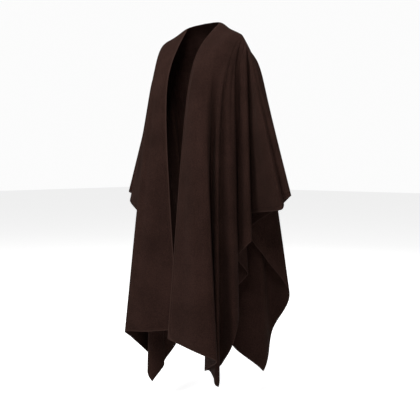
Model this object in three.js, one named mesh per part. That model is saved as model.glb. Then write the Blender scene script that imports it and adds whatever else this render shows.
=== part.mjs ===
// Open-front poncho of heavy fleece, as it hangs on a wearer's shoulders with both arms slightly out.
// Millimetres, +Z up, +X to the wearer's left, -Y to the front. The origin lies midway between the two
// points where the neck edge crosses the shoulders.
//
// Two pieces are cut: a left half and a right half, each with its front and back in one across the
// shoulder, sewn together down the centre back. The front stays open from neck to hem.
//
// Each half is a sheet of straight-hanging lines of cloth. A line starts on the shoulder, bends over the
// chest, the shoulder blade or the upper arm, and falls straight to the hem. The tables name the lines
// that make the folds, and the sheet runs smoothly from one to the next.

import * as THREE from "three";

const clothThickness = 2;
const seamGap = 0.3;
const lineSteps = 13; // steps from shoulder to hem
const stepCrowding = 0.9; // under 1 draws the steps towards the hem
const browReach = 0.75; // how far over the shoulder the cloth goes before it turns down
const browDropEdge = 0.55; // how soon it turns down: at the open edge, at the neck and over the arm
const browDropNeck = 0.1;
const browDropArm = 0.55;
const edgeLines = 8; // lines over which the open edge's drop fades out
const leftArmDropFrom = 0; // the line from which the front's drop grows towards the arm
const rightArmDropFrom = 10;
const browSpread = 5; // lines on each side that the brow is smoothed over
const armColumn = 44; // the line along the top of the arm closes the front to the back
const centreBackColumn = -5;

// The shoulder lines from the side of the neck over the tip of the shoulder, and the back neck edge. The
// right shoulder is held a little higher.
const leftShoulder = [
  { place: "centre back neck", column: -5, point: [0, 8, 8] },
  { place: "side of the neck", column: 0, point: [80, 0, 0] },
  { place: "middle of the shoulder", column: 4, point: [125, 0, -29] },
  { place: "near the tip", column: 8, point: [163, -2, -48] },
  { place: "tip of the shoulder", column: 26, point: [190, -6, -68] },
  { place: "upper arm", column: 44, point: [218, -9, -125] },
];
const rightShoulder = [
  { place: "centre back neck", column: -5, point: [0, 8, 8] },
  { place: "side of the neck", column: 0, point: [80, 0, 0] },
  { place: "middle of the shoulder", column: 4, point: [138, 0, -22] },
  { place: "near the tip", column: 8, point: [179, -2, -39] },
  { place: "tip of the shoulder", column: 26, point: [202, -6, -55] },
  { place: "upper arm", column: 44, point: [219, -9, -120] },
];

// Fronts, from the open edge round to the top of the arm. The corner of the cloth is a free point.
const leftFront = [
  { fold: "open edge", column: 0, bend: [49, -152, -180], hem: [-10, -195, -1163] },
  { fold: "panel middle", column: 3, bend: [86, -180, -220], hem: [110, -214, -1174] },
  { fold: "panel side", column: 5, bend: [112, -184, -250], hem: [172, -214, -1184] },
  { fold: "panel ridge", column: 7, bend: [132, -174, -275], hem: [208, -196, -1197] },
  { fold: "panel ridge behind", column: 8, bend: [139, -168, -290], hem: [203, -172, -1214] },
  { fold: "deep pleat", column: 11, bend: [156, -152, -325], hem: [16, -14, -1318] },
  { fold: "deep pleat inside", column: 12.5, bend: [161, -145, -325], hem: [22, 6, -1321] },
  { fold: "flap inside", column: 15, bend: [165, -141, -322], hem: [100, -62, -1318] },
  { fold: "flap front", column: 16, bend: [167, -139, -318], hem: [142, -108, -1320] },
  { fold: "front corner", column: 17, bend: [171, -134, -312], hem: [160, -110, -1325], corner: true },
  { fold: "flap behind", column: 18, bend: [171, -129, -302], hem: [150, -91, -1308] },
  { fold: "side edge turn", column: 20, bend: [170, -123, -295], hem: [122, -60, -1276] },
  { fold: "side edge behind", column: 21, bend: [173, -116, -288], hem: [134, -52, -1254] },
  { fold: "second ridge low", column: 23, bend: [190, -99, -265], hem: [201, -79, -1167] },
  { fold: "second ridge high", column: 25, bend: [200, -74, -225], hem: [199, -42, -1063] },
  { fold: "edge turned under", column: 27, bend: [189, -56, -205], hem: [117, 0, -1025] },
  { fold: "small ridge", column: 29, bend: [193, -44, -190], hem: [149, 64, -955] },
  { fold: "small ridge behind", column: 30, bend: [197, -40, -185], hem: [164, 60, -935] },
  { fold: "narrow valley", column: 32, bend: [204, -42, -170], hem: [166, -8, -874] },
  { fold: "third ridge low", column: 33, bend: [209, -40, -160], hem: [186, -20, -848] },
  { fold: "third ridge", column: 35, bend: [218, -34, -150], hem: [234, -30, -810] },
  { fold: "third ridge side", column: 36, bend: [222, -24, -152], hem: [235, -16, -792] },
  { fold: "under-arm valley", column: 37, bend: [211, -14, -164], hem: [183, 22, -718] },
  { fold: "valley behind", column: 38, bend: [216, -9, -164], hem: [195, 38, -706] },
  { fold: "sleeve ridge", column: 40, bend: [238, -36, -158], hem: [373, -42, -684] },
  { fold: "sleeve ridge side", column: 41, bend: [244, -34, -162], hem: [383, -31, -668] },
  { fold: "sleeve hollow", column: 42, bend: [249, -28, -168], hem: [370, -16, -652] },
  { fold: "arm front", column: 43, bend: [253, -19, -175], hem: [390, -15, -642] },
  { fold: "top of the arm", column: 44, bend: [256, -7, -182], hem: [396, -7, -635] },
];

const rightFront = [
  { fold: "open edge", column: 0, bend: [50, -178, -253], hem: [-20, -170, -1128] },
  { fold: "panel middle", column: 3, bend: [86, -180, -256], hem: [105, -200, -1150] },
  { fold: "panel ridge", column: 7, bend: [125, -172, -275], hem: [223, -206, -1169] },
  { fold: "ridge wall", column: 8, bend: [136, -164, -288], hem: [230, -172, -1194] },
  { fold: "outer pleat", column: 12, bend: [174, -120, -262], hem: [265, -8, -1319] },
  { fold: "outer pleat inside", column: 14, bend: [172, -112, -262], hem: [250, 0, -1322] },
  { fold: "inner ridge", column: 16, bend: [163, -115, -260], hem: [202, -104, -1337] },
  { fold: "front corner", column: 18, bend: [154, -115, -254], hem: [167, -115, -1373], corner: true },
  { fold: "side edge turn", column: 20, bend: [150, -109, -248], hem: [147, -71, -1318] },
  { fold: "inner edge notch", column: 21, bend: [152, -105, -242], hem: [166, -45, -1305] },
  { fold: "inner edge low", column: 23, bend: [157, -98, -232], hem: [140, 0, -1236] },
  { fold: "inner edge high", column: 25, bend: [167, -91, -220], hem: [135, 70, -1130] },
  { fold: "inner edge back", column: 27, bend: [182, -81, -205], hem: [180, 95, -1030] },
  { fold: "second ridge", column: 30, bend: [202, -56, -185], hem: [226, 62, -920] },
  { fold: "under-arm valley", column: 32, bend: [204, -58, -156], hem: [200, -20, -810] },
  { fold: "sleeve underside", column: 35, bend: [212, -50, -165], hem: [226, -60, -750] },
  { fold: "sleeve front", column: 38, bend: [219, -47, -154], hem: [262, -92, -715] },
  { fold: "sleeve ridge", column: 40, bend: [225, -38, -154], hem: [360, -44, -682] },
  { fold: "sleeve ridge side", column: 41, bend: [228, -32, -158], hem: [371, -32, -668] },
  { fold: "sleeve hollow", column: 42, bend: [231, -25, -164], hem: [362, -16, -652] },
  { fold: "arm front", column: 43, bend: [234, -17, -170], hem: [396, -16, -642] },
  { fold: "top of the arm", column: 44, bend: [235, -7, -178], hem: [402, -7, -635] },
];

// Backs, from the centre seam round to the top of the arm.
const leftBack = [
  { fold: "centre seam", column: -5, bend: [0, 130, -170], hem: [0, 170, -1160] },
  { fold: "centre ridge", column: 0, bend: [54, 141, -246], hem: [46, 263, -1164] },
  { fold: "centre ridge side", column: 1, bend: [62, 142, -252], hem: [60, 260, -1168] },
  { fold: "centre hollow", column: 4, bend: [86, 140, -270], hem: [32, 154, -1178] },
  { fold: "centre hollow side", column: 5, bend: [93, 139, -274], hem: [46, 148, -1182] },
  { fold: "blade ridge", column: 8, bend: [116, 136, -282], hem: [104, 250, -1188] },
  { fold: "blade ridge side", column: 10, bend: [124, 133, -288], hem: [122, 244, -1196] },
  { fold: "deep pleat", column: 14, bend: [146, 119, -300], hem: [62, 100, -1228] },
  { fold: "back corner", column: 18, bend: [167, 104, -290], hem: [164, 164, -1334], corner: true },
  { fold: "edge bow", column: 23, bend: [186, 86, -250], hem: [160, 230, -1188] },
  { fold: "edge ridge", column: 29, bend: [207, 70, -195], hem: [256, 205, -1020] },
  { fold: "flap middle", column: 33, bend: [208, 50, -165], hem: [200, 128, -885] },
  { fold: "under-arm valley", column: 37, bend: [208, 30, -165], hem: [163, 72, -775] },
  { fold: "sleeve back", column: 41, bend: [234, 30, -156], hem: [300, 66, -682] },
  { fold: "wrist back", column: 43, bend: [252, 8, -176], hem: [387, 4, -638] },
  { fold: "top of the arm", column: 44, bend: [256, -7, -182], hem: [396, -7, -635] },
];

const rightBack = [
  { fold: "centre seam", column: -5, bend: [0, 130, -170], hem: [0, 170, -1160] },
  { fold: "centre ridge", column: 0, bend: [54, 141, -246], hem: [50, 250, -1160] },
  { fold: "centre ridge side", column: 1, bend: [62, 142, -252], hem: [66, 247, -1163] },
  { fold: "centre hollow", column: 4, bend: [86, 140, -270], hem: [40, 148, -1176] },
  { fold: "centre hollow side", column: 5, bend: [93, 139, -274], hem: [54, 142, -1180] },
  { fold: "blade ridge", column: 8, bend: [116, 136, -282], hem: [114, 250, -1190] },
  { fold: "blade ridge side", column: 10, bend: [124, 133, -288], hem: [130, 242, -1196] },
  { fold: "deep pleat", column: 14, bend: [146, 119, -300], hem: [88, 116, -1215] },
  { fold: "back corner", column: 18, bend: [167, 104, -290], hem: [160, 195, -1300], corner: true },
  { fold: "edge bow", column: 23, bend: [186, 86, -250], hem: [170, 240, -1160] },
  { fold: "edge ridge", column: 29, bend: [207, 70, -195], hem: [262, 190, -1005] },
  { fold: "flap middle", column: 33, bend: [208, 50, -165], hem: [205, 130, -880] },
  { fold: "under-arm valley", column: 37, bend: [208, 30, -165], hem: [168, 80, -790] },
  { fold: "sleeve back", column: 41, bend: [228, 24, -150], hem: [300, 66, -682] },
  { fold: "wrist back", column: 43, bend: [234, 8, -172], hem: [392, 4, -638] },
  { fold: "top of the arm", column: 44, bend: [235, -7, -178], hem: [402, -7, -635] },
];

// The value at a column, on a smooth curve through the rows. Where sharp, a row marked as a corner of the
// cloth keeps its point.
function alongRows(rows, column, valueOf, sharp = false) {
  const last = rows.length - 1;
  let low = 0;
  while (low < last - 1 && rows[low + 1].column <= column) low += 1;
  const slope = (from, to) =>
    (valueOf(rows[to]) - valueOf(rows[from])) / (rows[to].column - rows[from].column);
  const slopeAt = (index, insideFrom, insideTo) => {
    const pointed = sharp && rows[index].corner;
    if (index === 0 || index === last || pointed) return slope(insideFrom, insideTo);
    return slope(index - 1, index + 1);
  };
  const span = rows[low + 1].column - rows[low].column;
  const part = (column - rows[low].column) / span;
  const startSlope = slopeAt(low, low, low + 1) * span;
  const endSlope = slopeAt(low + 1, low, low + 1) * span;
  const part2 = part * part;
  const part3 = part2 * part;
  return (
    (2 * part3 - 3 * part2 + 1) * valueOf(rows[low]) +
    (part3 - 2 * part2 + part) * startSlope +
    (3 * part2 - 2 * part3) * valueOf(rows[low + 1]) +
    (part3 - part2) * endSlope
  );
}

function pointAlongRows(rows, column, key) {
  return new THREE.Vector3(
    alongRows(rows, column, (row) => row[key][0]),
    alongRows(rows, column, (row) => row[key][1]),
    alongRows(rows, column, (row) => row[key][2], true),
  );
}

// The weights of five points that pull a rounded line from the first to the last.
function bendWeights(part) {
  const rest = 1 - part;
  return [rest ** 4, 4 * rest ** 3 * part, 6 * rest ** 2 * part ** 2, 4 * rest * part ** 3, part ** 4];
}

// How far down towards the bend the brow lies, as a part of the whole.
function browDropAt(rows, column, armDropFrom) {
  const overArm = THREE.MathUtils.smoothstep(column, armDropFrom, armColumn);
  const drop = THREE.MathUtils.lerp(browDropNeck, browDropArm, overArm);
  const isFront = rows[0].column === 0;
  if (!isFront) return drop;
  const nearEdge = 1 - THREE.MathUtils.smoothstep(column, 0, edgeLines);
  return drop + (browDropEdge - browDropNeck) * nearEdge;
}

// A line of cloth: level off the shoulder, rounded over the bend, then straight down to the hem. The brow,
// where it turns over, goes by the mean bend of the lines on both sides, because folds start below it.
// Returns the points from shoulder to hem.
function clothLine(shoulder, rows, column, armDropFrom) {
  const top = pointAlongRows(shoulder, column, "point");
  const bend = pointAlongRows(rows, column, "bend");
  const hem = pointAlongRows(rows, column, "hem");
  const spread = Math.min(browSpread, column - rows[0].column, (armColumn - column) / 2);
  const before = pointAlongRows(rows, column - spread, "bend");
  const after = pointAlongRows(rows, column + spread, "bend");
  const around = bend.clone().add(before).add(after).divideScalar(3);
  const browDrop = browDropAt(rows, column, armDropFrom);
  const brow = new THREE.Vector3(
    THREE.MathUtils.lerp(top.x, around.x, browReach),
    THREE.MathUtils.lerp(top.y, around.y, browReach),
    THREE.MathUtils.lerp(top.z, around.z, browDrop),
  );
  const line = [];
  for (let step = 0; step <= lineSteps; step += 1) {
    const weights = bendWeights((step / lineSteps) ** stepCrowding);
    const point = new THREE.Vector3();
    [top, brow, bend, bend, hem].forEach((pull, index) => point.addScaledVector(pull, weights[index]));
    line.push(point);
  }
  return line;
}

// The middle surface of one half. The front and back lines share their points on the shoulder and down
// the top of the arm. Returns the points and the square cells between them.
function halfSheet({ shoulder, frontRows, backRows, side, armDropFrom }) {
  const points = [];
  const place = (point) => points.push(point) - 1;
  const gridOf = (rows, firstColumn, dropFrom, shared) => {
    const grid = [];
    for (let column = firstColumn; column <= armColumn; column += 1) {
      const free = clothLine(shoulder, rows, column, dropFrom);
      const line = [];
      for (let step = 0; step <= lineSteps; step += 1) {
        const known = shared?.(column, step);
        if (known !== undefined) line.push(known);
        else line.push(place(free[step]));
      }
      grid.push(line);
    }
    return grid;
  };
  const front = gridOf(frontRows, 0, armDropFrom);
  const sharedWithFront = (column, step) => {
    if (column === armColumn || (step === 0 && column >= 0)) return front[column][step];
    return undefined;
  };
  const behind = gridOf(backRows, centreBackColumn, 0, sharedWithFront);

  const cells = [];
  const addCells = (grid, turned) => {
    for (let i = 0; i + 1 < grid.length; i += 1) {
      for (let j = 0; j < lineSteps; j += 1) {
        const cell = [grid[i][j], grid[i][j + 1], grid[i + 1][j + 1], grid[i + 1][j]];
        cells.push(turned ? cell.reverse() : cell);
      }
    }
  };
  const mirrored = side < 0;
  addCells(front, mirrored);
  addCells(behind, !mirrored);
  for (const point of points) point.x *= side;
  const centreBack = new Set(behind[0]);
  return { points, cells, centreBack };
}

// The directions square to the sheet at each point, the mean of those of the cells round it.
function sheetNormals({ points, cells, centreBack }) {
  const normals = points.map(() => new THREE.Vector3());
  const firstDiagonal = new THREE.Vector3();
  const secondDiagonal = new THREE.Vector3();
  for (const [a, b, c, d] of cells) {
    firstDiagonal.subVectors(points[c], points[a]);
    secondDiagonal.subVectors(points[d], points[b]);
    firstDiagonal.cross(secondDiagonal);
    for (const corner of [a, b, c, d]) normals[corner].add(firstDiagonal);
  }
  for (const index of centreBack) normals[index].x = 0;
  for (const normal of normals) normal.normalize();
  return normals;
}

// Gives the sheet its thickness: an outer and an inner face, closed along every free edge.
function clothWall(sheet) {
  const { points, cells } = sheet;
  const normals = sheetNormals(sheet);
  const count = points.length;
  const positions = new Float32Array(count * 6);
  points.forEach((point, index) => {
    const outer = point.clone().addScaledVector(normals[index], clothThickness / 2);
    const inner = point.clone().addScaledVector(normals[index], -clothThickness / 2);
    outer.toArray(positions, index * 3);
    inner.toArray(positions, (count + index) * 3);
  });
  const triangles = [];
  const neighbours = new Map();
  for (const [a, b, c, d] of cells) {
    triangles.push(a, b, c, a, c, d);
    triangles.push(count + a, count + c, count + b, count + a, count + d, count + c);
    for (const [from, to] of [[a, b], [b, c], [c, d], [d, a]]) {
      neighbours.set(`${from} ${to}`, [from, to]);
    }
  }
  for (const [from, to] of neighbours.values()) {
    if (neighbours.has(`${to} ${from}`)) continue;
    triangles.push(to, from, count + from, to, count + from, count + to);
  }
  const geometry = new THREE.BufferGeometry();
  geometry.setAttribute("position", new THREE.BufferAttribute(positions, 3));
  geometry.setIndex(triangles);
  geometry.computeVertexNormals();
  return geometry;
}

function makeHalf(name, cut) {
  const sheet = halfSheet(cut);
  const fleece = new THREE.MeshStandardMaterial({ color: 0x38261f, roughness: 0.95, metalness: 0 });
  const half = new THREE.Mesh(clothWall(sheet), fleece);
  half.name = name;
  half.position.x = (cut.side * seamGap) / 2;
  return half;
}

const poncho = new THREE.Group();
poncho.add(
  makeHalf("left_half", {
    side: 1,
    shoulder: leftShoulder,
    frontRows: leftFront,
    backRows: leftBack,
    armDropFrom: leftArmDropFrom,
  }),
);
poncho.add(
  makeHalf("right_half", {
    side: -1,
    shoulder: rightShoulder,
    frontRows: rightFront,
    backRows: rightBack,
    armDropFrom: rightArmDropFrom,
  }),
);

export default poncho;
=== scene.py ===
# An open-front poncho of heavy dark-brown fleece, worn, with nobody in it.
# Metres, +Z up, +X to the wearer's left, -Y to the front, the origin between the sides of the neck.

import bpy
import numpy as np
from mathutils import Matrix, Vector


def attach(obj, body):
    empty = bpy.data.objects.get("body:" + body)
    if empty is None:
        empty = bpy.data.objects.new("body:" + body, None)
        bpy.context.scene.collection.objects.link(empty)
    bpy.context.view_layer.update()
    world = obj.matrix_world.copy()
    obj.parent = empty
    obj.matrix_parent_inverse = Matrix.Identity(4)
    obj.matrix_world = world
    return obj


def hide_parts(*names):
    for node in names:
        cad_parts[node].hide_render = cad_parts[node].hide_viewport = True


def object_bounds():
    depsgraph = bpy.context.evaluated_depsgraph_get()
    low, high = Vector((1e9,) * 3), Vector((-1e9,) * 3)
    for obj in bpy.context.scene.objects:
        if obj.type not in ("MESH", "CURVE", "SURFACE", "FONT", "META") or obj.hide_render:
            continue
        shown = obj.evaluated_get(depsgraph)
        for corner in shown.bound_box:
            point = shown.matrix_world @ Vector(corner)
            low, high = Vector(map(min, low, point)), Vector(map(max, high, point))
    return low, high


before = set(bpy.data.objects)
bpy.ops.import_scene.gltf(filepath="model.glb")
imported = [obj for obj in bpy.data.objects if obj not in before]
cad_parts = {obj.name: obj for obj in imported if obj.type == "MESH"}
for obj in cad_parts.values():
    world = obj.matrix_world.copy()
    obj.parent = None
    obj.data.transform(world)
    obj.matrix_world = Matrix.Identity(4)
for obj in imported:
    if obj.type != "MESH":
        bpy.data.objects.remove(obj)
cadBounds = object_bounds()
mm = 0.001
print("frame loaded")

# Camera and studio

camera = {
    "azimuth": 40.0,  # degrees to the wearer's left of straight in front
    "distance": 2.5,
    "height": -0.535,  # the camera stands at the height of the hips
    "sensorWidth": 36.0,
    "imagePixels": 420.0,
    "focalPixels": 652.0,
    "clipEnd": 60.0,
    "frameRight": 6.0,  # pixels from the poncho's upright axis to the middle of the image
    "aimDown": 23.5,  # pixels from the horizon down to where the camera points
    "frameDown": 20.0,  # pixels from there down to the middle of the image
}


def makeCamera():
    # On a circle round the poncho's upright axis, aimed part of the way down, with the rest as a shift
    data = bpy.data.cameras.new("camera")
    data.sensor_width = camera["sensorWidth"]
    data.lens = camera["focalPixels"] / camera["imagePixels"] * data.sensor_width
    data.clip_end = camera["clipEnd"]
    piece = bpy.data.objects.new("camera", data)
    bpy.context.collection.objects.link(piece)
    turn = np.radians(camera["azimuth"])
    forward = Vector((-np.sin(turn), np.cos(turn), 0.0))
    piece.location = -forward * camera["distance"] + Vector((0, 0, camera["height"]))
    aim = forward - Vector((0, 0, 1)) * (camera["aimDown"] / camera["focalPixels"])
    piece.rotation_euler = aim.to_track_quat("-Z", "Y").to_euler()
    data.shift_x = camera["frameRight"] / camera["imagePixels"]
    data.shift_y = -camera["frameDown"] / camera["imagePixels"]
    bpy.context.scene.camera = piece


studio = {
    "floorDrop": 0.08,  # from the lowest corner of the cloth to the floor
    "floorSize": 40.0,
    "floorColour": (0.9, 0.9, 0.9, 1),
    "floorRoughness": 0.9,
    "floorGloss": 0.1,
    "surround": (1.0, 1.0, 1.0, 1),
    "surroundSeen": 0.97,  # strength of the surround behind the poncho
    "surroundLight": 0.2,  # and as light on the cloth, lower so that the folds stay deep
    "floorSeen": 0.68,  # glow of the floor where it is seen
    "floorLight": 0.1,  # and as light on the cloth from below
}

# Softboxes: name, place, point that it faces, side lengths, watts
softboxes = [
    ("key light", (-0.2, -3.4, 1.8), (0.1, 0.0, -0.4), (1.6, 2.0), 128),
    ("neck light", (1.1, -1.5, 1.1), (-0.05, 0.0, -0.2), (0.5, 0.5), 37),
    ("side light", (3.4, 0.9, 0.9), (0.1, 0.0, -0.6), (1.4, 2.4), 20),
    ("fill light", (-3.2, -2.2, 0.6), (0.0, 0.0, -0.6), (2.0, 2.4), 12),
    ("back light", (-1.2, 3.2, 1.8), (0.0, 0.0, -0.4), (1.6, 1.6), 30),
    ("top light", (-0.3, -0.9, 2.2), (0.0, 0.0, -0.2), (1.2, 1.2), 32),
]


def linkStrength(tree, socket, light, seen):
    # One strength for what is seen directly, and another for the light that falls on the cloth
    path = tree.nodes.new("ShaderNodeLightPath")
    strength = tree.nodes.new("ShaderNodeMapRange")
    strength.inputs["To Min"].default_value = light
    strength.inputs["To Max"].default_value = seen
    tree.links.new(path.outputs["Is Camera Ray"], strength.inputs["Value"])
    tree.links.new(strength.outputs["Result"], socket)


def makeStudio():
    # A flat floor below the hem, an even surround and the softboxes
    half = studio["floorSize"] / 2
    level = cadBounds[0][2] - studio["floorDrop"]
    mesh = bpy.data.meshes.new("floor")
    corners = [(x * half, y * half, level) for x, y in ((-1, -1), (1, -1), (1, 1), (-1, 1))]
    mesh.from_pydata(corners, [], [(0, 1, 2, 3)])
    floor = bpy.data.objects.new("floor", mesh)
    bpy.context.collection.objects.link(floor)
    paint = bpy.data.materials.new("pale floor")
    paint.use_nodes = True
    shader = paint.node_tree.nodes["Principled BSDF"]
    shader.inputs["Base Color"].default_value = studio["floorColour"]
    shader.inputs["Roughness"].default_value = studio["floorRoughness"]
    shader.inputs["Specular IOR Level"].default_value = studio["floorGloss"]
    shader.inputs["Emission Color"].default_value = studio["surround"]
    linkStrength(paint.node_tree, shader.inputs["Emission Strength"],
                 studio["floorLight"], studio["floorSeen"])
    mesh.materials.append(paint)

    world = bpy.data.worlds.new("studio")
    world.use_nodes = True
    surround = world.node_tree.nodes["Background"]
    surround.inputs["Color"].default_value = studio["surround"]
    linkStrength(world.node_tree, surround.inputs["Strength"],
                 studio["surroundLight"], studio["surroundSeen"])
    bpy.context.scene.world = world

    for name, place, target, sides, watts in softboxes:
        data = bpy.data.lights.new(name, "AREA")
        data.shape = "RECTANGLE"
        data.size, data.size_y = sides
        data.energy = watts
        lamp = bpy.data.objects.new(name, data)
        lamp.location = place
        lamp.rotation_euler = (Vector(target) - Vector(place)).to_track_quat("-Z", "Y").to_euler()
        bpy.context.collection.objects.link(lamp)


makeCamera()
makeStudio()
bpy.context.scene.view_settings.view_transform = "Standard"  # the dark cloth keeps its warm brown
print("camera and studio made")

# The cloth. Each half is a sheet of lines that start on the shoulder, turn over at the brow, bend over
# the chest, the shoulder blade or the upper arm, and fall straight to the hem. The tables name the lines
# that make the folds, in millimetres. The right half's tables are mirrored.

cloth = {
    "thickness": 2.4 * mm,
    "seamGap": 0.3 * mm,
    "linesPerColumn": 7,
    "steps": 68,  # from shoulder to hem
    "edgeRings": 3,  # points round the turned edge between the two faces
    "crowding": 0.9,  # under 1 draws the steps towards the hem
    "browReach": 0.75,  # how far the brow goes from the shoulder to the bend, outwards
    "browDropEdge": 0.55,  # and downwards, at the open edge, beside it and over the arm
    "browDropNeck": 0.1,
    "browDropArm": 0.55,
    "edgeLines": 8,  # columns from the open edge over which its brow rises
    "browSpread": 5,  # columns to each side whose bends share in the brow
    "undulation": 1.2 * mm,  # soft unevenness all over
    "waves": 9,
    "wavesAcross": (0.25, 0.9),  # radians a column
    "wavesDown": (2.0, 9.0),  # radians from shoulder to hem
    "creaseSwell": 0.2,  # share of the line over which a crease swells and dies out
    "smoothTop": (0.05, 0.3),  # share of the line over which creases begin under the shoulder
    "smoothArm": 1.2,  # columns beside the top of the arm, and beside the seam, with fading creases
    "smoothSeam": 1.5,
    "seed": 7,
    "backSeed": 10,  # added to the seed for the back
    "cutWidth": 0.81,
    "cutLength": 2.37,
    "cutArea": 1.85,
}
armColumn = 44  # the line along the top of the arm closes the front to the back
centreBackColumn = -5

# Place, column, point. The right shoulder is held a little higher.
leftShoulder = [
    ("centre back neck", -5, (0, 8, 8)),
    ("side of the neck", 0, (80, 0, 0)),
    ("middle of the shoulder", 4, (125, 0, -29)),
    ("near the tip", 8, (163, -2, -48)),
    ("tip of the shoulder", 26, (190, -6, -68)),
    ("upper arm", 44, (218, -9, -125)),
]
rightShoulder = [
    ("centre back neck", -5, (0, 8, 8)),
    ("side of the neck", 0, (80, 0, 0)),
    ("middle of the shoulder", 4, (138, 0, -22)),
    ("near the tip", 8, (179, -2, -39)),
    ("tip of the shoulder", 26, (202, -6, -55)),
    ("upper arm", 44, (219, -9, -120)),
]

# The column from which each front's brow comes down towards the arm
leftArmDropFrom = 0
rightArmDropFrom = 10

# Fold, column, bend, hem
leftFront = [
    ("open edge", 0, (49, -152, -180), (-10, -195, -1163)),
    ("panel middle", 3, (86, -180, -220), (110, -214, -1174)),
    ("panel side", 5, (112, -184, -250), (172, -214, -1184)),
    ("panel ridge", 7, (132, -174, -275), (208, -196, -1197)),
    ("panel ridge behind", 8, (139, -168, -290), (203, -172, -1214)),
    ("deep pleat", 11, (156, -152, -325), (16, -14, -1318)),
    ("deep pleat inside", 12.5, (161, -145, -325), (22, 6, -1321)),
    ("flap inside", 15, (165, -141, -322), (100, -62, -1318)),
    ("flap front", 16, (167, -139, -318), (142, -108, -1320)),
    ("front corner", 17, (171, -134, -312), (160, -110, -1325)),
    ("flap behind", 18, (171, -129, -302), (150, -91, -1308)),
    ("side edge turn", 20, (170, -123, -295), (122, -60, -1276)),
    ("side edge behind", 21, (173, -116, -288), (134, -52, -1254)),
    ("second ridge low", 23, (190, -99, -265), (201, -79, -1167)),
    ("second ridge high", 25, (200, -74, -225), (199, -42, -1063)),
    ("edge turned under", 27, (189, -56, -205), (117, 0, -1025)),
    ("small ridge", 29, (193, -44, -190), (149, 64, -955)),
    ("small ridge behind", 30, (197, -40, -185), (164, 60, -935)),
    ("narrow valley", 32, (204, -42, -170), (166, -8, -874)),
    ("third ridge low", 33, (209, -40, -160), (186, -20, -848)),
    ("third ridge", 35, (218, -34, -150), (234, -30, -810)),
    ("third ridge side", 36, (222, -24, -152), (235, -16, -792)),
    ("under-arm valley", 37, (211, -14, -164), (183, 22, -718)),
    ("valley behind", 38, (216, -9, -164), (195, 38, -706)),
    ("sleeve ridge", 40, (238, -36, -158), (373, -42, -684)),
    ("sleeve ridge side", 41, (244, -34, -162), (383, -31, -668)),
    ("sleeve hollow", 42, (249, -28, -168), (370, -16, -652)),
    ("arm front", 43, (253, -19, -175), (390, -15, -642)),
    ("top of the arm", 44, (256, -7, -182), (396, -7, -635)),
]
rightFront = [
    ("open edge", 0, (50, -178, -253), (-20, -170, -1128)),
    ("panel middle", 3, (86, -180, -256), (105, -200, -1150)),
    ("panel ridge", 7, (125, -172, -275), (223, -206, -1169)),
    ("ridge wall", 8, (136, -164, -288), (230, -172, -1194)),
    ("outer pleat", 12, (174, -120, -262), (265, -8, -1319)),
    ("outer pleat inside", 14, (172, -112, -262), (250, 0, -1322)),
    ("inner ridge", 16, (163, -115, -260), (202, -104, -1337)),
    ("front corner", 18, (154, -115, -254), (167, -115, -1373)),
    ("side edge turn", 20, (150, -109, -248), (147, -71, -1318)),
    ("inner edge notch", 21, (152, -105, -242), (166, -45, -1305)),
    ("inner edge low", 23, (157, -98, -232), (140, 0, -1236)),
    ("inner edge high", 25, (167, -91, -220), (135, 70, -1130)),
    ("inner edge back", 27, (182, -81, -205), (180, 95, -1030)),
    ("second ridge", 30, (202, -56, -185), (226, 62, -920)),
    ("under-arm valley", 32, (204, -58, -156), (200, -20, -810)),
    ("sleeve underside", 35, (212, -50, -165), (226, -60, -750)),
    ("sleeve front", 38, (219, -47, -154), (262, -92, -715)),
    ("sleeve ridge", 40, (225, -38, -154), (360, -44, -682)),
    ("sleeve ridge side", 41, (228, -32, -158), (371, -32, -668)),
    ("sleeve hollow", 42, (231, -25, -164), (362, -16, -652)),
    ("arm front", 43, (234, -17, -170), (396, -16, -642)),
    ("top of the arm", 44, (235, -7, -178), (402, -7, -635)),
]
leftBack = [
    ("centre seam", -5, (0, 130, -170), (0, 170, -1160)),
    ("centre ridge", 0, (54, 141, -246), (46, 263, -1164)),
    ("centre ridge side", 1, (62, 142, -252), (60, 260, -1168)),
    ("centre hollow", 4, (86, 140, -270), (32, 154, -1178)),
    ("centre hollow side", 5, (93, 139, -274), (46, 148, -1182)),
    ("blade ridge", 8, (116, 136, -282), (104, 250, -1188)),
    ("blade ridge side", 10, (124, 133, -288), (122, 244, -1196)),
    ("deep pleat", 14, (146, 119, -300), (62, 100, -1228)),
    ("back corner", 18, (167, 104, -290), (164, 164, -1334)),
    ("edge bow", 23, (186, 86, -250), (160, 230, -1188)),
    ("edge ridge", 29, (207, 70, -195), (256, 205, -1020)),
    ("flap middle", 33, (208, 50, -165), (200, 128, -885)),
    ("under-arm valley", 37, (208, 30, -165), (163, 72, -775)),
    ("sleeve back", 41, (234, 30, -156), (300, 66, -682)),
    ("wrist back", 43, (252, 8, -176), (387, 4, -638)),
    ("top of the arm", 44, (256, -7, -182), (396, -7, -635)),
]
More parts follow.
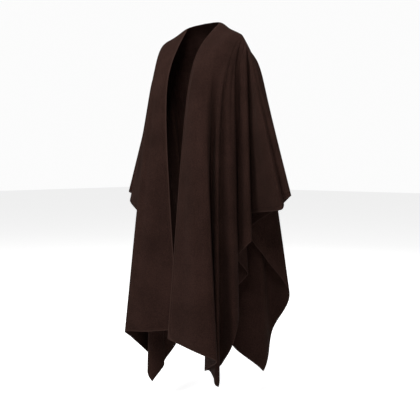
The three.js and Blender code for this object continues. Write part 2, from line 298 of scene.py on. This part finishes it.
rightBack = [
    ("centre seam", -5, (0, 130, -170), (0, 170, -1160)),
    ("centre ridge", 0, (54, 141, -246), (50, 250, -1160)),
    ("centre ridge side", 1, (62, 142, -252), (66, 247, -1163)),
    ("centre hollow", 4, (86, 140, -270), (40, 148, -1176)),
    ("centre hollow side", 5, (93, 139, -274), (54, 142, -1180)),
    ("blade ridge", 8, (116, 136, -282), (114, 250, -1190)),
    ("blade ridge side", 10, (124, 133, -288), (130, 242, -1196)),
    ("deep pleat", 14, (146, 119, -300), (88, 116, -1215)),
    ("back corner", 18, (167, 104, -290), (160, 195, -1300)),
    ("edge bow", 23, (186, 86, -250), (170, 240, -1160)),
    ("edge ridge", 29, (207, 70, -195), (262, 190, -1005)),
    ("flap middle", 33, (208, 50, -165), (205, 130, -880)),
    ("under-arm valley", 37, (208, 30, -165), (168, 80, -790)),
    ("sleeve back", 41, (228, 24, -150), (300, 66, -682)),
    ("wrist back", 43, (234, 8, -172), (392, 4, -638)),
    ("top of the arm", 44, (235, -7, -178), (402, -7, -635)),
]
cornerFolds = ("front corner", "back corner")  # the hem is pointed here

# Soft creases on top of the folds: column at the upper and at the lower end, start and end on the way
# from shoulder to hem (0 to 1), half width in columns, rise in millimetres (a trough's is negative)
frontCreases = [
    (2.0, 1.2, 0.30, 0.86, 0.8, 3.0),
    (4.6, 5.2, 0.42, 1.05, 0.9, -3.5),
    (1.0, 2.4, 0.62, 1.05, 0.7, -2.5),
    (8.6, 9.0, 0.28, 0.80, 0.9, 2.6),
    (15.0, 14.6, 0.30, 0.70, 0.8, -3.0),
    (19.5, 22.0, 0.22, 0.60, 0.9, 2.2),
    (24.2, 23.6, 0.25, 0.75, 0.6, -2.4),
    (31.0, 30.6, 0.24, 0.66, 0.5, 2.0),
    (34.2, 34.0, 0.28, 0.80, 0.5, -2.0),
    (38.8, 38.9, 0.30, 0.85, 0.4, -5.0),
    (39.6, 39.5, 0.40, 1.05, 0.3, 3.0),
    (42.8, 42.5, 0.30, 0.90, 0.3, 2.0),
]
backCreases = [
    (-2.4, -2.8, 0.30, 0.90, 0.9, -3.0),
    (2.4, 2.2, 0.35, 0.80, 0.6, 2.4),
    (6.6, 6.6, 0.40, 1.05, 0.6, -3.0),
    (12.0, 12.4, 0.30, 0.85, 0.8, 3.0),
    (16.5, 16.0, 0.35, 0.90, 0.7, -2.6),
    (20.8, 21.2, 0.30, 1.05, 0.8, 3.4),
    (26.0, 26.4, 0.30, 0.90, 0.9, -3.2),
    (31.0, 31.2, 0.35, 0.95, 0.7, 2.6),
    (35.4, 35.0, 0.30, 0.80, 0.6, -2.4),
    (39.0, 39.0, 0.35, 0.95, 0.5, 3.0),
    (42.2, 42.0, 0.30, 0.85, 0.3, -2.2),
]


def smoothRamp(value, low, high):
    # From 0 to 1 between low and high, level at both ends: three squares less two cubes
    ramp = np.clip((value - low) / (high - low), 0.0, 1.0)
    return ramp * ramp * (3.0 - 2.0 * ramp)


def alongRows(rows, field, columns):
    # A cubic between each two rows, where a row's slope is that from its one neighbour to its other.
    # The height at a corner keeps its point: the slope there is that to the row on the same side.
    at = np.array([row[1] for row in rows], float)
    value = np.array([row[field] for row in rows], float)
    step = (value[1:] - value[:-1]) / (at[1:] - at[:-1])[:, None]
    middle = (value[2:] - value[:-2]) / (at[2:] - at[:-2])[:, None]
    slopeIn = np.vstack([step[:1], middle, step[-1:]])
    slopeOut = slopeIn.copy()
    corners = [k for k, row in enumerate(rows) if row[0] in cornerFolds]
    for k in corners:
        slopeIn[k, 2] = step[k - 1, 2]
        slopeOut[k, 2] = step[k, 2]
    low = np.clip(np.searchsorted(at, columns, side="right") - 1, 0, len(rows) - 2)
    span = (at[low + 1] - at[low])[:, None]
    t = (columns - at[low])[:, None] / span
    return (
        (2 * t**3 - 3 * t**2 + 1) * value[low]
        + (t**3 - 2 * t**2 + t) * span * slopeOut[low]
        + (3 * t**2 - 2 * t**3) * value[low + 1]
        + (t**3 - t**2) * span * slopeIn[low + 1]
    )


def clothLines(shoulder, rows, columns, armDropFrom=0):
    # Points [column, step]: the mean of shoulder, brow, bend, bend and hem with the weights of a fourth
    # power curve. The brow goes by the mean bend of the lines on both sides, as folds start below it.
    top = alongRows(shoulder, 2, columns)
    bend = alongRows(rows, 2, columns)
    hem = alongRows(rows, 3, columns)
    spread = np.minimum(columns - rows[0][1], (armColumn - columns) / 2)
    spread = np.minimum(cloth["browSpread"], spread)
    around = (bend + alongRows(rows, 2, columns - spread) + alongRows(rows, 2, columns + spread)) / 3
    overArm = smoothRamp(columns, armDropFrom, armColumn)[:, None]
    drop = cloth["browDropNeck"] + (cloth["browDropArm"] - cloth["browDropNeck"]) * overArm
    if rows[0][0] == "open edge":
        nearEdge = 1 - smoothRamp(columns, 0.0, cloth["edgeLines"])[:, None]
        drop = drop + (cloth["browDropEdge"] - cloth["browDropNeck"]) * nearEdge
    brow = top + (around - top) * cloth["browReach"]
    brow[:, 2:] = top[:, 2:] + (around[:, 2:] - top[:, 2:]) * drop
    part = (np.linspace(0, 1, cloth["steps"] + 1) ** cloth["crowding"])[None, :, None]
    rest = 1 - part
    pulls = [points[:, None, :] for points in (top, brow, bend, hem)]
    weights = (rest**4, 4 * rest**3 * part, 6 * rest**2 * part**2 + 4 * rest * part**3, part**4)
    return sum(weight * pull for weight, pull in zip(weights, pulls)) * mm


def creaseHeights(creases, columns, seed):
    # Each crease is a bell across the lines, wandering from its upper to its lower column, that swells
    # and dies out along its length. A few slow waves of seeded direction and phase are added all over.
    part = np.linspace(0, 1, cloth["steps"] + 1)[None, :]
    at = columns[:, None]
    height = np.zeros((len(columns), cloth["steps"] + 1))
    waveHeight = cloth["undulation"] / np.sqrt(cloth["waves"])
    for upper, lower, start, end, width, rise in creases:
        along = np.clip((part - start) / (end - start), 0, 1)
        centre = upper + (lower - upper) * along
        swell = smoothRamp(part, start, start + cloth["creaseSwell"])
        swell = swell * (1 - smoothRamp(part, end - cloth["creaseSwell"], end))
        height += rise * mm * swell * np.exp(-(((at - centre) / width) ** 2))
    random = np.random.default_rng(seed)
    for _ in range(cloth["waves"]):
        across, down = random.uniform(*cloth["wavesAcross"]), random.uniform(*cloth["wavesDown"])
        phase = random.uniform(0, 6.28)
        height += waveHeight * np.sin(across * at + down * part + phase)
    fadeTop = smoothRamp(part, *cloth["smoothTop"])
    fadeArm = smoothRamp(armColumn - at, 0.0, cloth["smoothArm"])
    fadeSeam = smoothRamp(at - centreBackColumn, 0.0, cloth["smoothSeam"])
    return height * fadeTop * fadeArm * fadeSeam


def sheetNormals(points, cells):
    # Square to the sheet: the mean of the diagonals' cross product over the cells round each point.
    first = points[cells[:, 2]] - points[cells[:, 0]]
    second = points[cells[:, 3]] - points[cells[:, 1]]
    cross = np.cross(first, second)
    normals = np.zeros_like(points)
    for corner in range(4):
        np.add.at(normals, cells[:, corner], cross)
    return normals


def lengthsAlong(grid, axis):
    # Running length over the cloth from the first point, along the given direction of the grid.
    steps = np.linalg.norm(np.diff(grid, axis=axis), axis=2)
    start = np.zeros_like(steps.take([0], axis=axis))
    return np.concatenate([start, np.cumsum(steps, axis=axis)], axis=axis)


def makeHalf(name, side, shoulder, frontRows, backRows, armDropFrom, node):
    # A front and a back sheet of lines that meet on the shoulder and along the top of the arm, moved
    # square to themselves by the creases, then doubled by half the thickness to each side.
    perColumn, last = cloth["linesPerColumn"], cloth["steps"]
    frontColumns = np.arange(0, armColumn * perColumn + 1) / perColumn
    backColumns = np.arange(centreBackColumn * perColumn, armColumn * perColumn + 1) / perColumn
    neckSteps = -centreBackColumn * perColumn
    front = clothLines(shoulder, frontRows, frontColumns, armDropFrom)
    back = clothLines(shoulder, backRows, backColumns)

    # The back shares the shoulder line and the line along the top of the arm with the front.
    frontIndex = np.arange(front[..., 0].size).reshape(front.shape[:2])
    backIndex = np.full(back.shape[:2], -1)
    backIndex[neckSteps:, 0] = frontIndex[:, 0]
    backIndex[-1] = frontIndex[-1]
    free = backIndex < 0
    backIndex[free] = frontIndex.size + np.arange(free.sum())
    points = np.vstack([front.reshape(-1, 3), back[free]])

    def cellsOf(index, turned):
        cell = [index[:-1, :-1], index[:-1, 1:], index[1:, 1:], index[1:, :-1]]
        if turned:
            cell.reverse()
        return np.stack(cell, axis=-1).reshape(-1, 4)

    mirrored = side < 0
    cells = np.vstack([cellsOf(frontIndex, mirrored), cellsOf(backIndex, not mirrored)])
    points[:, 0] *= side
    seam = backIndex[0]

    def unitNormals():
        normals = sheetNormals(points, cells)
        normals[seam, 0] = 0.0
        return normals / np.linalg.norm(normals, axis=1)[:, None]

    heights = np.zeros(len(points))
    heights[frontIndex] = creaseHeights(frontCreases, frontColumns, cloth["seed"] + side)
    backHeights = creaseHeights(backCreases, backColumns, cloth["seed"] + cloth["backSeed"] + side)
    heights[backIndex[free]] = backHeights[free]
    points += unitNormals() * heights[:, None]
    normals = unitNormals()
    points[:, 0] += side * cloth["seamGap"] / 2

    # How far each point lies from the hem or the open edge, and its place on the flat cloth
    hemFront = lengthsAlong(front[:, ::-1], 1)[:, ::-1]
    hemBack = lengthsAlong(back[:, ::-1], 1)[:, ::-1]
    edge = np.zeros(len(points))
    edge[backIndex] = hemBack
    edge[frontIndex] = np.minimum(hemFront, lengthsAlong(front, 0))
    flat = np.zeros((len(points), 2))
    across = (backColumns - centreBackColumn) / (armColumn - centreBackColumn)
    flat[backIndex, 0] = across[:, None] * cloth["cutWidth"]
    flat[backIndex, 1] = lengthsAlong(back, 1)
    flat[frontIndex, 0] = frontColumns[:, None] / armColumn * cloth["cutWidth"]
    flat[frontIndex, 1] = -lengthsAlong(front, 1)

    # The free edge as one closed loop: up the open edge, round the neck, down the seam, along the hem
    loop = np.concatenate([
        frontIndex[0, :0:-1], frontIndex[:1, 0], backIndex[neckSteps - 1:0:-1, 0], backIndex[0, :-1],
        backIndex[:-1, last], frontIndex[:0:-1, last],
    ])
    inwards = np.concatenate([
        frontIndex[1, :0:-1], frontIndex[:1, 1], backIndex[neckSteps - 1:0:-1, 1], backIndex[1, :-1],
        backIndex[:-1, last - 1], frontIndex[:0:-1, last - 1],
    ])
    tangent = np.roll(points[loop], -1, axis=0) - np.roll(points[loop], 1, axis=0)
    outwards = np.cross(tangent, normals[loop])
    outwards /= np.linalg.norm(outwards, axis=1)[:, None]
    away = np.sum(outwards * (points[loop] - points[inwards]), axis=1)
    outwards *= np.where(away < 0, -1.0, 1.0)[:, None]

    # Outer face, inner face, and half a turn round the edge between them
    radius = cloth["thickness"] / 2
    count = len(points)
    turns = np.pi * np.arange(1, cloth["edgeRings"] + 1) / (cloth["edgeRings"] + 1)
    rings = [points[loop] + radius * (normals[loop] * np.cos(turn) + outwards * np.sin(turn))
             for turn in turns]
    vertices = np.vstack([points + normals * radius, points - normals * radius] + rings)
    chain = [loop]
    chain += [2 * count + k * len(loop) + np.arange(len(loop)) for k in range(cloth["edgeRings"])]
    chain += [count + loop]
    faces = [cells, cells[:, ::-1] + count]
    for near, far in zip(chain[:-1], chain[1:]):
        band = [near, np.roll(near, -1), np.roll(far, -1), far]
        if mirrored:
            band.reverse()
        faces.append(np.stack(band, axis=-1))
    faces = np.vstack(faces)
    source = np.concatenate([np.arange(count), np.arange(count)] + [loop] * cloth["edgeRings"])

    mesh = bpy.data.meshes.new(name)
    mesh.from_pydata(vertices, [], faces)
    mesh.polygons.foreach_set("use_smooth", np.ones(len(faces), bool))
    distance = mesh.attributes.new("edgeDistance", "FLOAT", "POINT")
    distance.data.foreach_set("value", edge[source].astype(np.float32))
    corners = np.empty(len(mesh.loops), np.int32)
    mesh.loops.foreach_get("vertex_index", corners)
    layer = mesh.uv_layers.new(name="clothMetres")
    layer.data.foreach_set("uv", flat[source][corners].ravel().astype(np.float32))
    mesh.materials.append(fleece)
    half = bpy.data.objects.new(name, mesh)
    bpy.context.collection.objects.link(half)
    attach(half, "root")
    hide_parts(node)


# Fleece

fleeceLook = {
    "deep": (0.0096, 0.0045, 0.0034, 1),  # the shaded, flattened nap
    "light": (0.0212, 0.0101, 0.0079, 1),  # the raised nap
    "edge": (0.0245, 0.0128, 0.0102, 1),  # painted highlight along the turned edges, where they catch the light
    "roughness": 0.95,
    "gloss": 0.03,
    "sheen": 0.03,
    "sheenRoughness": 0.55,
    "sheenTint": (0.45, 0.28, 0.22, 1),
    "napScale": 900.0,  # tufts about a millimetre apart
    "tuftScale": 260.0,  # clumps of tufts
    "cloudScale": 9.0,  # where a hand has brushed the nap one way or the other
    "hemWidth": 0.012,  # from the edge to the line of the turned hem
    "hemGroove": 0.003,  # half width of that line
    "highlightFade": (0.005, 0.001),  # from the edge, where the painted highlight begins and is full
    "napRise": 0.5,  # shares of nap, tufts and hem line in the relief
    "tuftRise": 1.0,
    "grooveDepth": 1.4,
    "relief": 0.0009,
    "reliefStrength": 0.55,
    "cloudShade": 0.4,  # shares of clouds and tufts in the colour
    "tuftShade": 0.6,
    "shadeFrom": 0.30,  # noise where the colour is all deep, and where it is all light
    "shadeTo": 0.70,
}


def makeNapGroup():
    # Noise in three sizes: fine nap and its tufts raise the surface, and tufts and broad clouds shift
    # its colour. A shallow groove runs along the hem and the open edge, which get a painted highlight.
    group = bpy.data.node_groups.new("fleece nap", "ShaderNodeTree")
    nodes, links = group.nodes, group.links
    for name, kind in (("Vector", "NodeSocketVector"), ("Edge Distance", "NodeSocketFloat"),
                       ("Nap Scale", "NodeSocketFloat"), ("Tuft Scale", "NodeSocketFloat"),
                       ("Cloud Scale", "NodeSocketFloat"), ("Hem Width", "NodeSocketFloat"),
                       ("Deep", "NodeSocketColor"), ("Light", "NodeSocketColor"),
                       ("Edge", "NodeSocketColor")):
        group.interface.new_socket(name, in_out="INPUT", socket_type=kind)
    group.interface.new_socket("Color", in_out="OUTPUT", socket_type="NodeSocketColor")
    group.interface.new_socket("Normal", in_out="OUTPUT", socket_type="NodeSocketVector")
    entry, leave = nodes.new("NodeGroupInput"), nodes.new("NodeGroupOutput")

    def noise(scale, detail):  # scale is the name of the group's input
        node = nodes.new("ShaderNodeTexNoise")
        node.inputs["Detail"].default_value = detail
        links.new(entry.outputs["Vector"], node.inputs["Vector"])
        links.new(entry.outputs[scale], node.inputs["Scale"])
        return node.outputs["Fac"]

    def math(operation, first, second):
        node = nodes.new("ShaderNodeMath")
        node.operation = operation
        for socket, value in zip(node.inputs, (first, second)):
            if isinstance(value, (int, float)):
                socket.default_value = value
            else:
                links.new(value, socket)
        return node.outputs[0]

    nap, tuft, cloud = noise("Nap Scale", 3), noise("Tuft Scale", 2), noise("Cloud Scale", 3)
    fromLine = math("ABSOLUTE", math("SUBTRACT", entry.outputs["Edge Distance"],
                                     entry.outputs["Hem Width"]), 0)
    groove = nodes.new("ShaderNodeMapRange")
    groove.interpolation_type = "SMOOTHSTEP"
    links.new(fromLine, groove.inputs["Value"])
    groove.inputs["From Max"].default_value = fleeceLook["hemGroove"]
    groove.inputs["To Min"].default_value = -1.0
    groove.inputs["To Max"].default_value = 0.0

    height = math("ADD", math("MULTIPLY", nap, fleeceLook["napRise"]),
                  math("MULTIPLY", tuft, fleeceLook["tuftRise"]))
    height = math("ADD", height, math("MULTIPLY", groove.outputs["Result"], fleeceLook["grooveDepth"]))
    bump = nodes.new("ShaderNodeBump")
    bump.inputs["Strength"].default_value = fleeceLook["reliefStrength"]
    bump.inputs["Distance"].default_value = fleeceLook["relief"]
    links.new(height, bump.inputs["Height"])
    links.new(bump.outputs["Normal"], leave.inputs["Normal"])

    shade = math("ADD", math("MULTIPLY", cloud, fleeceLook["cloudShade"]),
                 math("MULTIPLY", tuft, fleeceLook["tuftShade"]))
    spread = nodes.new("ShaderNodeMapRange")
    spread.interpolation_type = "SMOOTHSTEP"
    spread.inputs["From Min"].default_value = fleeceLook["shadeFrom"]
    spread.inputs["From Max"].default_value = fleeceLook["shadeTo"]
    links.new(shade, spread.inputs["Value"])
    mix = nodes.new("ShaderNodeMix")
    mix.data_type = "RGBA"
    links.new(spread.outputs["Result"], mix.inputs["Factor"])
    links.new(entry.outputs["Deep"], mix.inputs[6])
    links.new(entry.outputs["Light"], mix.inputs[7])

    # Painted highlight: a lighter colour along the free edges, where the turned edge catches the light
    highlightMask = nodes.new("ShaderNodeMapRange")
    highlightMask.interpolation_type = "SMOOTHSTEP"
    highlightMask.inputs["From Min"].default_value = fleeceLook["highlightFade"][0]
    highlightMask.inputs["From Max"].default_value = fleeceLook["highlightFade"][1]
    links.new(entry.outputs["Edge Distance"], highlightMask.inputs["Value"])
    paintedHighlight = nodes.new("ShaderNodeMix")
    paintedHighlight.data_type = "RGBA"
    links.new(highlightMask.outputs["Result"], paintedHighlight.inputs["Factor"])
    links.new(mix.outputs[2], paintedHighlight.inputs[6])
    links.new(entry.outputs["Edge"], paintedHighlight.inputs[7])
    links.new(paintedHighlight.outputs[2], leave.inputs["Color"])
    return group


def makeFleece():
    # Dull brown with a faint warm sheen, and the nap from the group on Object coordinates
    material = bpy.data.materials.new("fleece")
    material.use_nodes = True
    nodes, links = material.node_tree.nodes, material.node_tree.links
    shader = nodes["Principled BSDF"]
    shader.inputs["Roughness"].default_value = fleeceLook["roughness"]
    shader.inputs["Specular IOR Level"].default_value = fleeceLook["gloss"]
    shader.inputs["Sheen Weight"].default_value = fleeceLook["sheen"]
    shader.inputs["Sheen Roughness"].default_value = fleeceLook["sheenRoughness"]
    shader.inputs["Sheen Tint"].default_value = fleeceLook["sheenTint"]
    place = nodes.new("ShaderNodeTexCoord")
    distance = nodes.new("ShaderNodeAttribute")
    distance.attribute_name = "edgeDistance"
    nap = nodes.new("ShaderNodeGroup")
    nap.node_tree = makeNapGroup()
    for socket, key in (("Nap Scale", "napScale"), ("Tuft Scale", "tuftScale"),
                        ("Cloud Scale", "cloudScale"), ("Hem Width", "hemWidth"),
                        ("Deep", "deep"), ("Light", "light"), ("Edge", "edge")):
        nap.inputs[socket].default_value = fleeceLook[key]
    links.new(place.outputs["Object"], nap.inputs["Vector"])
    links.new(distance.outputs["Fac"], nap.inputs["Edge Distance"])
    links.new(nap.outputs["Color"], shader.inputs["Base Color"])
    links.new(nap.outputs["Normal"], shader.inputs["Normal"])
    return material


fleece = makeFleece()
print("fleece made")
makeHalf("left_half_cloth", 1, leftShoulder, leftFront, leftBack, leftArmDropFrom, "left_half")
makeHalf("right_half_cloth", -1, rightShoulder, rightFront, rightBack, rightArmDropFrom, "right_half")
print("both halves draped")
